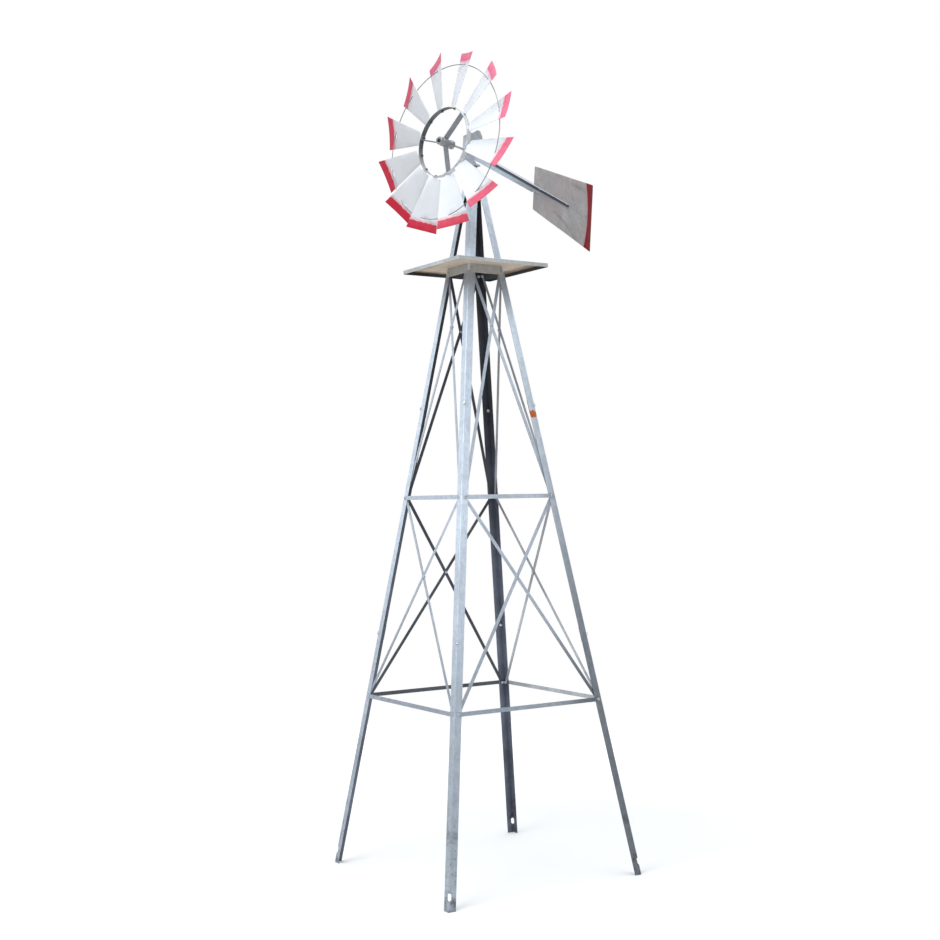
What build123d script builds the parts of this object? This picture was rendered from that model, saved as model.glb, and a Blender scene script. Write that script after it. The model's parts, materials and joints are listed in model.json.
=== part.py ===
from build123d import *
from math import atan2, degrees, radians, sqrt, tan
import os

# Garden windmill on a four-legged lattice tower. Millimetres, +Z up, ground at Z = 0.
# The tower axis is the Z axis, its front face looks along -Y, and its right face along +X.

# ---- tower frame ----
base_half = 328.4          # leg corner to tower axis, along X or Y, on the ground
lean = 0.1502              # how far a leg corner comes in for each unit of height
leg_flange = 23.0
leg_gauge = 1.2
leg_bend = 2.0
lower_splice_z = 693.5
upper_splice_z = 1367.6
splice_edge = [13.0, 20.0]   # splice bolt to the bottom end of the section above
splice_lap = 34.0
joggle = 8.0
leg_top_z = 2030.0
strip_gauge = 1.2
girt_width = 12.0
brace_width = 10.0
girt_levels = {"lower": 505.0, "upper": 1099.6}
bolt_edge = 12.0           # leg corner to bolt
slot_z = 38.0
slot_width = 10.0
slot_height = 20.0

# ---- fasteners of the frame ----
bolt_r = 2.5
bolt_hole_r = 2.7
bolt_head_r = 4.6
bolt_head_h = 2.6
nut_flat = 8.0
nut_h = 4.0
bolt_tip = 1.0
head_seat = 0.05           # a flat head touches a rounded corner along one line

# ---- deck ----
deck_half = 157.0
deck_top_z = 1786.0
deck_gauge = 1.0
deck_rim = 11.0
deck_corner_r = 3.0
deck_hole_half = 60.5
lip_depth = 28.0
lip_half = 56.0
deck_bolt_z = 1770.0

# ---- tower cap and pivot ----
cap_gauge = 3.0
cap_skirt = 26.0
cap_bolt_z = 2016.0
cap_bolt_x = 11.0
post_r = 11.0
post_low_z = 1965.0
post_shoulder_z = 2084.0
spigot_r = 6.0
spigot_top_z = 2096.0
stud_r = 4.0
stud_top_z = 2106.0
pivot_washer_h = 1.6
pivot_washer_r = 10.0
pivot_nut_flat = 13.0
pivot_nut_h = 6.5
running_gap = 0.05
post_chamfer = 0.6
face_gap = 0.1

# ---- head ----
head_z = 2129.9            # where the shaft line crosses the tower axis
head_yaw_deg = 11.84       # wheel's resting direction, turned from square
shaft_tilt_deg = 5.84      # nose up
bracket_gauge = 1.6
bracket_half = 16.5        # leaves the skewed boom clear of both cheeks
bracket_front = 28.5
bracket_rear = 28.0
bracket_front_top = 47.0
bracket_foot = -60.0       # cut off level at the base
ear_points = [(-2.0, 66.0), (9.0, 65.0), (18.5, 52.0), (28.0, 20.0)]
bracket_under = -12.0      # underside of the bracket behind its front leg
leg_rear = -9.0            # rear edge of the bracket's front leg
base_upstand = -36.0
upstand_rear = 16.0
bracket_web = 2.0
web_top = 16.0
base_drop = 40.0
base_gauge = 2.0
base_front = 32.0          # under the front plate's bottom edge
base_rear = 14.0
bush_r = 8.0
bush_flange_r = 11.5
shaft_r = 3.0
shaft_front = 150.0
shaft_rear = 9.0
shaft_chamfer = 0.6
shaft_nut_flat = 10.0
shaft_nut_h = 5.0
nut_play = 0.3             # lets the hub turn behind the front nut

# ---- wheel ----
hub_out = 118.7            # tower axis to wheel plane, along the shaft
hub_r = 13.0
hub_back = 33.6
hub_front = 10.4
hub_boss_r = 12.0
hub_boss = 12.0
bearing_r = 9.5
bearing_w = 6.0
hub_bore_r = 5.0
hub_chamfer = 1.5
ring_r = 102.8             # outside of the inner ring
ring_gauge = 1.4
ring_width = 16.0
spoke_width = 19.0
spoke_gauge = 1.5
spoke_side = -3.6          # spoke beside the radius, clear of the nut on its foot
spoke_foot = 13.0
hub_sink = 2.0             # spoke blank drawn past both its ends before they are trimmed
wire_ring_r = 228.8
wire_r = 1.3
blade_count = 12
blade_start_deg = 13.165
blade_pitch_deg = 23.6
blade_tip_r = 265.0
blade_root_r = 109.0
blade_tip_chord = 102.0
blade_root_chord = 40.0
blade_gauge = 1.0
blade_out = 1.5
tab_chord = 14.0
tab_depth = 10.5
tab_neck = 2.0             # height over which a blade widens from its tab to its root
slot_chord = 26.0
slot_r = 2.0
wheel_bolt_r = 2.0
wheel_bolt_head_r = 3.6
wheel_bolt_head_h = 2.0
wheel_nut_flat = 7.0
wheel_nut_h = 3.0
wheel_bolt_tip = 1.0
head_crown = 0.55          # share of a screw head's height that is rounded
nut_seat = 0.3             # a flat nut bears on a curved wall at its edges only

# ---- tail ----
tail_skew_deg = 11.5
tail_droop_deg = 7.0
boom_flange = 22.0
boom_gauge = 1.2
boom_start = 11.0
boom_end = 565.0
boom_corner_x = 8.0
vane_front = 355.0
vane_rear = 717.0
vane_front_half = 71.0
vane_rear_half = 117.0
vane_gauge = 1.2
trim_lead = 0.5            # boom's flanges are trimmed from just before the vane
vane_turn_deg = 1.36
vane_front_x = -3.0
vane_bolts = [374.0, 545.0]
bracket_bolts = [15.0, 23.0]

drill = 30.0               # length of a drill, longer than any joint that it goes through

os.makedirs("parts", exist_ok=True)

sides = {"front": 0, "right": 90, "rear": 180, "left": 270}
corners = {"front_right": 0, "rear_right": 90, "rear_left": 180, "front_left": 270}
slant = sqrt(1 + lean ** 2)
front_face = Plane(origin=(0, -base_half, 0), x_dir=(1, 0, 0), z_dir=(0, -1, lean))


def save(name, shapes):
    """Write one node, from one solid or a list of solids."""
    solids = []
    for shape in shapes if isinstance(shapes, list) else [shapes]:
        solids += shape.solids()
    node = solids[0] if len(solids) == 1 else Compound(children=solids)
    export_step(node, f"parts/{name}.step")


def half_at(z):
    """Leg corner to tower axis at a height."""
    return base_half - lean * z


def on_face(x, z, depth=0.0):
    """Place on the front face: across, height and distance out of the face."""
    return front_face * Pos(x, z * slant, depth)


def turned(shape, angle):
    return Rot(0, 0, angle) * shape


def hex_prism(flat, height):
    return extrude(RegularPolygon(flat / 2, 6, major_radius=False), height)


def cylinder_up(radius, height):
    return Cylinder(radius, height, align=(Align.CENTER, Align.CENTER, Align.MIN))


# ---- legs ----
def angle_prism(z_low, z_high, inset=0.0):
    """A level-cut length of leaning angle at the front right corner."""
    corner = half_at(z_low) - inset
    gauge = leg_gauge * slant
    tip = corner - leg_flange + inset
    outline = Polyline(
        (corner, -corner), (tip, -corner), (tip, -corner + gauge), (corner - gauge, -corner + gauge),
        (corner - gauge, -tip), (corner, -tip), close=True)
    face = Plane.XY.offset(z_low) * make_face(outline)
    rise = z_high - z_low
    prism = extrude(face, rise * sqrt(1 + 2 * lean ** 2), dir=(-lean, lean, 1))
    halfway = corner - lean * rise / 2
    outer = prism.edges().sort_by_distance((halfway, -halfway, z_low + rise / 2))[0]
    return fillet(outer, leg_bend if inset == 0 else leg_bend / 2)


def corner_place(z):
    """On the outside of a leg's bent corner, looking out square to it."""
    out = half_at(z) - leg_bend * (1 - sqrt(0.5))
    return Plane(origin=(out, -out, z), z_dir=(1, -1, 2 * lean))


def corner_hole(z, radius):
    """Cutter through a leg's corner, square to the corner's edge."""
    return corner_place(z) * Cylinder(radius, drill)


def face_hole(x, z, radius, length=drill):
    return on_face(x, z) * Cylinder(radius, length)


def both_flanges(cutter):
    """A cutter on the front face and its mirror image on the right face."""
    swap = Plane(origin=(0, 0, 0), z_dir=(1, 1, 0))
    return [cutter, mirror(cutter, swap)]


def leg_section(z_low, z_high, bolt_heights, holes, tongue):
    body = angle_prism(z_low, z_high)
    if tongue:
        body += angle_prism(z_high - joggle, z_high + splice_lap, leg_gauge * slant)
    for z in holes:
        body -= corner_hole(z, bolt_hole_r)
    for z in bolt_heights:
        for cutter in both_flanges(face_hole(half_at(z) - bolt_edge, z, bolt_hole_r)):
            body -= cutter
    return body


def peg_slot():
    """Slot through the corner of a foot, for a ground peg."""
    place = Plane(origin=(half_at(slot_z), -half_at(slot_z), slot_z), x_dir=(0, 0, 1), z_dir=(1, -1, 0))
    return place * extrude(SlotOverall(slot_height, slot_width), drill / 2, both=True)


lower_end = lower_splice_z - splice_edge[0]
upper_end = upper_splice_z - splice_edge[1]
lower_leg = leg_section(0, lower_end, [girt_levels["lower"]], [lower_splice_z], True) - peg_slot()
middle_leg = leg_section(lower_end, upper_end, [girt_levels["upper"]], [lower_splice_z, upper_splice_z], True)
upper_leg = leg_section(upper_end, leg_top_z, [deck_bolt_z], [upper_splice_z], False)
for cutter in both_flanges(face_hole(cap_bolt_x, cap_bolt_z, bolt_hole_r)):
    upper_leg -= cutter
for corner, angle in corners.items():
    save(f"lower_leg_{corner}", turned(lower_leg, angle))
    save(f"middle_leg_{corner}", turned(middle_leg, angle))
    save(f"upper_leg_{corner}", turned(upper_leg, angle))


# ---- girts and braces ----
def strip(start, end, width, depth):
    """A flat strip with rounded ends and a bolt hole at each, between two places (x, z) on a face."""
    run = Vector(end[0] - start[0], (end[1] - start[1]) * slant)
    outline = SlotCenterToCenter(run.length, width)
    for end_x in (-run.length / 2, run.length / 2):
        outline -= Pos(end_x, 0) * Circle(bolt_hole_r)
    place = on_face((start[0] + end[0]) / 2, (start[1] + end[1]) / 2, depth)
    return place * Rot(0, 0, degrees(atan2(run.Y, run.X))) * extrude(outline, strip_gauge)


def bolt_x(z):
    return half_at(z) - bolt_edge


def crossing(z_low, z_high):
    """Height where the two braces of a panel cross."""
    low, high = bolt_x(z_low), bolt_x(z_high)
    return z_low + (z_high - z_low) * low / (low + high)


first_layer = -leg_gauge - strip_gauge
second_layer = first_layer - strip_gauge
panels = {
    "lower": (girt_levels["lower"], girt_levels["upper"]),
    "upper": (girt_levels["upper"], deck_bolt_z),
}


def brace_pair(z_low, z_high):
    """Two crossing strips on the inner side of the legs, bolted together where they cross."""
    low, high = bolt_x(z_low), bolt_x(z_high)
    hole = face_hole(0, crossing(z_low, z_high), bolt_hole_r)
    rising = strip((-low, z_low), (high, z_high), brace_width, first_layer) - hole
    falling = strip((low, z_low), (-high, z_high), brace_width, second_layer) - hole
    return [rising, falling]


for side, angle in sides.items():
    for level, z in girt_levels.items():
        girt = strip((-bolt_x(z), z), (bolt_x(z), z), girt_width, 0)
        save(f"{level}_girt_{side}", turned(girt, angle))
    for panel, (z_low, z_high) in panels.items():
        save(f"{panel}_braces_{side}", [turned(brace, angle) for brace in brace_pair(z_low, z_high)])


# ---- deck ----
def deck_lip():
    """Turned-down lip that lies against two legs on the front side."""
    z_low = deck_top_z - lip_depth
    outline = Polyline(
        (-lip_half, z_low * slant), (lip_half, z_low * slant),
        (lip_half, (deck_top_z - deck_gauge / 2) * slant),
        (-lip_half, (deck_top_z - deck_gauge / 2) * slant), close=True)
    lip = front_face * extrude(make_face(outline), deck_gauge)
    for x in (-bolt_x(deck_bolt_z), bolt_x(deck_bolt_z)):
        lip -= face_hole(x, deck_bolt_z, bolt_hole_r)
    return lip


def deck():
    low = deck_top_z - deck_rim
    inner = deck_half - deck_gauge
    body = Pos(0, 0, low) * extrude(RectangleRounded(2 * deck_half, 2 * deck_half, deck_corner_r), deck_rim)
    pocket = RectangleRounded(2 * inner, 2 * inner, deck_corner_r - deck_gauge)
    pocket = extrude(pocket, deck_rim - deck_gauge)
    body -= Pos(0, 0, low) * pocket
    body -= Pos(0, 0, deck_top_z) * Box(2 * deck_hole_half, 2 * deck_hole_half, 4 * deck_gauge)
    for angle in sides.values():
        body += turned(deck_lip(), angle)
    return body


save("deck", deck())


# ---- tower cap and pivot ----
def cap_skirt_plate():
    """One skirt of the cap, on the inner side of the front face."""
    z_low = leg_top_z - cap_skirt
    half = half_at(leg_top_z) - leg_gauge - cap_gauge
    outline = Polyline(
        (-half, z_low * slant), (half, z_low * slant),
        (half, (leg_top_z + cap_gauge / 2) * slant), (-half, (leg_top_z + cap_gauge / 2) * slant), close=True)
    plate = front_face * Pos(0, 0, -leg_gauge - strip_gauge) * extrude(make_face(outline), strip_gauge)
    for x in (-cap_bolt_x, cap_bolt_x):
        plate -= face_hole(x, cap_bolt_z, bolt_hole_r)
    return plate


def tower_cap():
    side = 2 * half_at(leg_top_z)
    plate = Pos(0, 0, leg_top_z) * extrude(RectangleRounded(side, side, leg_bend), cap_gauge)
    for angle in (0, 180):
        plate += turned(cap_skirt_plate(), angle)
    return plate - Pos(0, 0, leg_top_z - cap_gauge) * cylinder_up(post_r, 3 * cap_gauge)


def pivot_post():
    post = Pos(0, 0, post_low_z) * cylinder_up(post_r, post_shoulder_z - post_low_z)
    post += Pos(0, 0, post_shoulder_z) * cylinder_up(spigot_r, spigot_top_z - post_shoulder_z)
    post += Pos(0, 0, spigot_top_z) * cylinder_up(stud_r, stud_top_z - spigot_top_z)
    top_edge = post.edges().sort_by(Axis.Z)[-1]
    return chamfer(top_edge, post_chamfer)


def pivot_washers():
    lower = cylinder_up(bush_flange_r, pivot_washer_h) - cylinder_up(spigot_r, pivot_washer_h)
    upper = cylinder_up(pivot_washer_r, pivot_washer_h) - cylinder_up(stud_r, pivot_washer_h)
    nut = hex_prism(pivot_nut_flat, pivot_nut_h) - cylinder_up(stud_r, pivot_nut_h)
    return [
        Pos(0, 0, post_shoulder_z) * lower,
        Pos(0, 0, spigot_top_z) * upper,
        Pos(0, 0, spigot_top_z + pivot_washer_h) * nut]


save("tower_cap", tower_cap())
save("pivot_post", pivot_post())
save("pivot_washers", pivot_washers())


# ---- frame fasteners ----
def pan_bolt(radius, head_r, head_h, grip):
    """Bolt along -Z with its head's underside at Z = 0."""
    head = Cylinder(head_r, head_h, align=(Align.CENTER, Align.CENTER, Align.MIN))
    head = fillet(head.edges().sort_by(Axis.Z)[-1], head_h * head_crown)
    return head + Cylinder(radius, grip, align=(Align.CENTER, Align.CENTER, Align.MAX))


def frame_bolt(grip):
    return pan_bolt(bolt_r, bolt_head_r, bolt_head_h, grip + nut_h + bolt_tip)


def frame_nut():
    """Nut hanging below Z = 0."""
    nut = Pos(0, 0, -nut_h) * hex_prism(nut_flat, nut_h)
    return nut - Cylinder(bolt_r, 3 * nut_h)


def face_bolts():
    """Bolts, nuts and spacers of the front face, each set as separate solids."""
    low, middle = girt_levels["lower"], girt_levels["upper"]
    stack = leg_gauge + 2 * strip_gauge
    bolts, nuts, spacers = [], [], []
    for z, out in ((low, strip_gauge), (middle, strip_gauge), (deck_bolt_z, deck_gauge)):
        for x in (-bolt_x(z), bolt_x(z)):
            one_strip = x < 0 and z == low or x > 0 and z == deck_bolt_z
            grip = stack - strip_gauge if one_strip else stack
            bolts.append(on_face(x, z, out) * frame_bolt(out + grip))
            nuts.append(on_face(x, z, -grip) * frame_nut())
            if not one_strip and z != middle:
                ring = Cylinder(bolt_head_r, strip_gauge) - Cylinder(bolt_r, 2 * strip_gauge)
                spacers.append(on_face(x, z, first_layer + strip_gauge / 2) * ring)
    for z_low, z_high in panels.values():
        z = crossing(z_low, z_high)
        bolts.append(on_face(0, z, -leg_gauge) * frame_bolt(2 * strip_gauge))
        nuts.append(on_face(0, z, second_layer) * frame_nut())
    return bolts, nuts, spacers


def cap_bolts():
    bolts, nuts = [], []
    for x in (-cap_bolt_x, cap_bolt_x):
        bolts.append(on_face(x, cap_bolt_z) * frame_bolt(leg_gauge + strip_gauge))
        nuts.append(on_face(x, cap_bolt_z, -leg_gauge - strip_gauge) * frame_nut())
    return bolts, nuts


def splice_bolts():
    """Bolts through the corner, whose nuts bear on both flanges of the inner section."""
    bolts, nuts = [], []
    nut_reach = nut_flat / sqrt(3)
    grip = 2 * leg_gauge * sqrt(2) + nut_reach
    for z in (lower_splice_z, upper_splice_z):
        bolts.append(corner_place(z) * Pos(0, 0, head_seat) * frame_bolt(grip))
        nuts.append(corner_place(z) * Pos(0, 0, -grip) * frame_nut())
    return bolts, nuts


def all_round(shapes, angles):
    return [turned(shape, angle) for angle in angles for shape in shapes]


every_side = list(sides.values())
face_sets, cap_sets, splice_sets = face_bolts(), cap_bolts(), splice_bolts()
bolts = all_round(face_sets[0] + splice_sets[0], every_side) + all_round(cap_sets[0], (0, 180))
nuts = all_round(face_sets[1] + splice_sets[1], every_side) + all_round(cap_sets[1], (0, 180))
save("frame_bolts", bolts)
save("frame_nuts", nuts)
save("brace_spacers", all_round(face_sets[2], every_side))


# ---- head ----
yawed = Pos(0, 0, head_z) * Rot(0, 0, head_yaw_deg)
tilted = yawed * Rot(-shaft_tilt_deg, 0, 0)
tail_place = yawed * Rot(0, 0, tail_skew_deg) * Rot(-tail_droop_deg, 0, 0)


def cheek(x_low):
    """Side plate with a front leg and an upstand along the base, left long for the level cut."""
    outline = Polyline(
        (-bracket_front, bracket_foot), (-bracket_front, bracket_front_top), *ear_points,
        (bracket_rear, bracket_under), (leg_rear, bracket_under), (leg_rear, base_upstand),
        (upstand_rear, base_upstand), (upstand_rear, bracket_foot), close=True)
    plate = extrude(Plane.YZ * make_face(outline), bracket_gauge)
    return Pos(x_low, 0, 0) * plate


def cross_plate(y_low, bottom, top):
    """Plate across the bracket that holds the shaft, between two heights."""
    plate = Pos(0, y_low + bracket_gauge / 2, (bottom + top) / 2)
    plate = plate * Box(2 * bracket_half, bracket_gauge, top - bottom)
    return plate - Pos(0, y_low, 0) * Rot(90, 0, 0) * Cylinder(shaft_r, 4 * bracket_gauge)


def head_bracket():
    """Folded bracket: two cheeks, a front plate, a web and a level base, in the yawed frame."""
    body = cheek(-bracket_half) + cheek(bracket_half - bracket_gauge)
    body += cross_plate(-bracket_front, bracket_foot, bracket_front_top)
    body += cross_plate(bracket_web, bracket_under, web_top)
    for y in bracket_bolts:
        body -= Pos(0, y, 0) * Rot(0, 90, 0) * Cylinder(wheel_bolt_r, 4 * bracket_half)
    body = Rot(-shaft_tilt_deg, 0, 0) * body
    below = Box(8 * bracket_half, 8 * bracket_half, 2 * base_drop)
    body -= Pos(0, 0, -2 * base_drop) * below
    base = Box(2 * bracket_half, base_front + base_rear, base_gauge)
    base = Pos(0, (base_rear - base_front) / 2, -base_drop - base_gauge / 2) * base
    return body + base - Pos(0, 0, -base_drop) * Cylinder(bush_r, 6 * base_gauge)


def pivot_bush():
    """Flanged bush that turns on the post's spigot."""
    low = post_shoulder_z + pivot_washer_h + face_gap - head_z
    top = spigot_top_z - face_gap - head_z
    bush = Pos(0, 0, low) * cylinder_up(bush_r, top - low)
    flange_h = -base_drop - base_gauge - low
    bush += Pos(0, 0, low) * cylinder_up(bush_flange_r, flange_h)
    return bush - Cylinder(spigot_r + running_gap, 4 * base_drop)


def rod(radius, front, rear):
    """Round bar along the shaft line, from one distance in front of the tower axis to another."""
    length = front - rear
    return Pos(0, -(front + rear) / 2, 0) * Rot(90, 0, 0) * Cylinder(radius, length)


def shaft_nut(front):
    """Nut on the shaft with its front face at a distance in front of the tower axis."""
    nut = Rot(90, 0, 0) * hex_prism(shaft_nut_flat, shaft_nut_h)
    nut = Pos(0, -front + shaft_nut_h, 0) * nut
    return nut - rod(shaft_r, front + 2 * shaft_nut_h, front - 4 * shaft_nut_h)


hub_front_face = hub_out + hub_front + hub_boss
shaft_nut_fronts = [
    hub_front_face + nut_play + shaft_nut_h,
    bracket_front + shaft_nut_h,
    bracket_front - bracket_gauge,
    -bracket_web - bracket_gauge,
]
save("head_bracket", yawed * head_bracket())
save("pivot_bush", yawed * pivot_bush())
shaft = rod(shaft_r, shaft_front, -shaft_rear)
save("wheel_shaft", tilted * chamfer(shaft.edges().group_by(Axis.Y)[0], shaft_chamfer))
save("shaft_nuts", [tilted * shaft_nut(front) for front in shaft_nut_fronts])


# ---- wheel: built on the wheel plane, +X across, +Y up, +Z to the front ----
wheel_place = tilted * Pos(0, -hub_out, 0) * Rot(90, 0, 0)


def hub():
    body = Pos(0, 0, -hub_back) * cylinder_up(hub_r, hub_back + hub_front)
    body += Pos(0, 0, hub_front) * cylinder_up(hub_boss_r, hub_boss)
    body = chamfer(body.edges().sort_by(Axis.Z)[-1], hub_chamfer)
    body -= Cylinder(hub_bore_r, 4 * (hub_back + hub_front))
    body -= Pos(0, 0, -hub_back) * cylinder_up(bearing_r, bearing_w)
    return body - Pos(0, 0, hub_front + hub_boss - bearing_w) * cylinder_up(bearing_r, bearing_w)


def bearing(z_low):
    ring = cylinder_up(bearing_r, bearing_w) - Cylinder(shaft_r + running_gap, 4 * bearing_w)
    return Pos(0, 0, z_low) * ring


blade_angles = [blade_start_deg + i * 360 / blade_count for i in range(blade_count)]
spoke_angles = blade_angles[1::4]


def blade_frame(angle):
    """X along the chord, Y outwards along the blade's centre line, Z square to the blade."""
    return Rot(0, 0, angle - 90) * Pos(0, 0, blade_out) * Rot(0, -blade_pitch_deg, 0)


def bolt_place(angle):
    """On the outside of the inner ring, under a blade's tab, looking outwards."""
    return blade_frame(angle) * Pos(0, ring_r, -blade_gauge / 2 - tab_depth / 2) * Rot(-90, 0, 0)


def blade(angle):
    """Tapered sheet with a slot for the wire and a tab folded back onto the inner ring."""
    tab_top = ring_r + blade_gauge
    outline = Polyline(
        (-tab_chord / 2, ring_r), (tab_chord / 2, ring_r), (tab_chord / 2, blade_root_r - tab_neck),
        (blade_root_chord / 2, blade_root_r), (blade_tip_chord / 2, blade_tip_r),
        (-blade_tip_chord / 2, blade_tip_r), (-blade_root_chord / 2, blade_root_r),
        (-tab_chord / 2, blade_root_r - tab_neck), close=True)
    sheet = Pos(0, 0, -blade_gauge / 2) * extrude(make_face(outline), blade_gauge)
    sheet -= Pos(0, wire_ring_r, 0) * extrude(SlotOverall(slot_chord, 2 * slot_r), blade_gauge, both=True)
    tab = Box(tab_chord, tab_top - ring_r, tab_depth, align=(Align.CENTER, Align.MIN, Align.MAX))
    body = sheet + Pos(0, ring_r, blade_gauge / 2) * tab
    body = blade_frame(angle) * body
    return body - bolt_place(angle) * Cylinder(wheel_bolt_r, drill)


def inner_ring():
    body = Cylinder(ring_r, ring_width) - Cylinder(ring_r - ring_gauge, 2 * ring_width)
    for angle in blade_angles:
        body -= bolt_place(angle) * Cylinder(wheel_bolt_r, drill)
    return body


def spoke(angle):
    """Flat strip set on edge from the hub to the inner ring, with its end bent along the ring."""
    ring_inside = ring_r - ring_gauge
    run = Box(spoke_gauge, ring_inside - hub_r + 2 * hub_sink, spoke_width)
    run = Pos(spoke_side, (hub_r + ring_inside) / 2, 0) * run
    foot = Box(spoke_foot, 4 * spoke_gauge, ring_width, align=(Align.MIN, Align.CENTER, Align.CENTER))
    foot = Pos(spoke_side - spoke_gauge / 2, ring_inside, 0) * foot
    foot -= Cylinder(ring_inside - spoke_gauge, 2 * spoke_width)
    body = (run + foot) & (Cylinder(ring_inside, 2 * spoke_width) - Cylinder(hub_r, 4 * spoke_width))
    return Rot(0, 0, angle - 90) * body - bolt_place(angle) * Cylinder(wheel_bolt_r, drill)


def wheel_fasteners():
    solids = []
    for angle in blade_angles:
        inside = ring_gauge + (spoke_gauge if angle in spoke_angles else 0.0)
        head = bolt_place(angle) * Pos(0, 0, blade_gauge)
        grip = blade_gauge + inside + wheel_nut_h + wheel_bolt_tip
        solids.append(head * pan_bolt(wheel_bolt_r, wheel_bolt_head_r, wheel_bolt_head_h, grip))
        nut = hex_prism(wheel_nut_flat, wheel_nut_h) - Cylinder(wheel_bolt_r, drill)
        solids.append(bolt_place(angle) * Pos(0, 0, -inside - nut_seat - wheel_nut_h) * nut)
    return solids


save("hub", wheel_place * hub())
bearing_lows = [-hub_back, hub_front + hub_boss - bearing_w]
save("hub_bearings", [wheel_place * bearing(z_low) for z_low in bearing_lows])
save("inner_ring", wheel_place * inner_ring())
save("spokes", [wheel_place * spoke(angle) for angle in spoke_angles])
save("wire_ring", wheel_place * Pos(0, 0, blade_out) * Torus(wire_ring_r, wire_r))
save("wheel_bolts", [wheel_place * solid for solid in wheel_fasteners()])
for number, angle in enumerate(blade_angles, 1):
    save(f"blade_{number:02d}", wheel_place * blade(angle))


# ---- tail: X across, Y back along the boom, Z up ----
def vane_place():
    return Pos(vane_front_x, vane_front, 0) * Rot(0, 0, -vane_turn_deg) * Pos(0, -vane_front, 0)


def tail_hole(y):
    return Pos(0, y, 0) * Rot(0, 90, 0) * Cylinder(wheel_bolt_r, 2 * drill)


def tail_vane():
    outline = Polyline(
        (vane_front, -vane_front_half), (vane_rear, -vane_rear_half), (vane_rear, vane_rear_half),
        (vane_front, vane_front_half), close=True)
    plate = vane_place() * Pos(-vane_gauge, 0, 0) * extrude(Plane.YZ * make_face(outline), vane_gauge)
    for y in vane_bolts:
        plate -= tail_hole(y)
    return plate


def tail_boom():
    """Steel angle with its corner outwards, trimmed where it lies on the vane."""
    reach = boom_flange * sqrt(0.5)
    gauge = boom_gauge * sqrt(2)
    outline = Polyline(
        (boom_corner_x, 0), (boom_corner_x - reach, reach),
        (boom_corner_x - reach - gauge / 2, reach - gauge / 2),
        (boom_corner_x - gauge, 0), (boom_corner_x - reach - gauge / 2, gauge / 2 - reach),
        (boom_corner_x - reach, -reach), close=True)
    boom = Pos(0, boom_end, 0) * extrude(Plane.XZ * make_face(outline), boom_end - boom_start)
    behind = Box(4 * boom_flange, boom_end, 6 * boom_flange, align=(Align.MAX, Align.MIN, Align.CENTER))
    boom -= vane_place() * Pos(0, vane_front - trim_lead, 0) * behind
    for y in vane_bolts:
        boom -= tail_hole(y)
    boom = tail_place * boom
    for y in bracket_bolts:
        boom -= tilted * tail_hole(y)
    return boom


def cross_bolt(x_head, x_nut):
    """Bolt along -X from under its head to a nut, with both."""
    turn = Rot(0, 90, 0)
    grip = x_head - x_nut + wheel_nut_h + wheel_bolt_tip
    bolt = Pos(x_head, 0, 0) * turn * pan_bolt(wheel_bolt_r, wheel_bolt_head_r, wheel_bolt_head_h, grip)
    nut = hex_prism(wheel_nut_flat, wheel_nut_h) - Cylinder(wheel_bolt_r, drill)
    return [bolt, Pos(x_nut - wheel_nut_h, 0, 0) * turn * nut]


def tail_bolts():
    solids = []
    for y in vane_bolts:
        vane_x = vane_front_x + (y - vane_front) * tan(radians(vane_turn_deg))
        for solid in cross_bolt(boom_corner_x, vane_x - vane_gauge - nut_seat):
            solids.append(tail_place * Pos(0, y, 0) * solid)
    for y in bracket_bolts:
        for solid in cross_bolt(bracket_half, -bracket_half):
            solids.append(tilted * Pos(0, y, 0) * solid)
    return solids


save("tail_vane", tail_place * tail_vane())
save("tail_boom", tail_boom())
save("tail_bolts", tail_bolts())
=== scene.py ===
import json
from math import cos, pi, radians, sin, sqrt, tan

import bmesh
import bpy
from bpy.props import FloatProperty, FloatVectorProperty, IntProperty, PointerProperty
from mathutils import Matrix, Vector


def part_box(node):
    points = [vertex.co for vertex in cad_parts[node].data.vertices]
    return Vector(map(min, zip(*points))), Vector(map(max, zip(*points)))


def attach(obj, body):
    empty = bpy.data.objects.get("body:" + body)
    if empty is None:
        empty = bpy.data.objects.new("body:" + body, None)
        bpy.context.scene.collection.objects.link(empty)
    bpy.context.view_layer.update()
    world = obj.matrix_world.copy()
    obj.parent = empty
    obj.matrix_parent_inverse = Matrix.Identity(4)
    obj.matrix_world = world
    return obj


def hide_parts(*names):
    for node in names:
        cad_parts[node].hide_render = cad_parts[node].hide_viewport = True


# Looks of a garden windmill: finishes for its steel frame, and detailed blades, vane, hub and screws.

bl_info = {
    "name": "Garden Windmill",
    "version": (1, 0, 0),
    "blender": (4, 5, 0),
    "location": "View3D > Sidebar > Windmill",
    "description": "Finishes and detailed sheet metal, hub and screws of a garden windmill",
    "category": "Object",
}

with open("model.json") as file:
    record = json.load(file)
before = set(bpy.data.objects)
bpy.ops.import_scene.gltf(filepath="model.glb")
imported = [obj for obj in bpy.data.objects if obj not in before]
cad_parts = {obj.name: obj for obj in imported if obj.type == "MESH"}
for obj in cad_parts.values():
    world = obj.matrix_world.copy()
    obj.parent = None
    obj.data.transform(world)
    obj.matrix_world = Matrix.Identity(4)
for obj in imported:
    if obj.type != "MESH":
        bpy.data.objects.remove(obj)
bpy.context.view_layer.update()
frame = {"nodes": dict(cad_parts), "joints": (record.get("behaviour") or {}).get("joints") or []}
nodes = frame["nodes"]
joints = {joint["name"]: joint for joint in frame["joints"]}
UP = Vector((0, 0, 1))
WELD = 1e-6                # points this close are one point, in metres
SHARP = radians(34)        # edges that turn further are shaded sharp
SQUARE = radians(60)       # edges that turn further are the cut edges of a sheet


# ---- settings ----
def length(name, description, default):
    return FloatProperty(
        name=name, description=description, default=default, min=0, unit="LENGTH", precision=5)


def angle(name, description, degrees):
    return FloatProperty(name=name, description=description, default=radians(degrees), unit="ROTATION")


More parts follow.
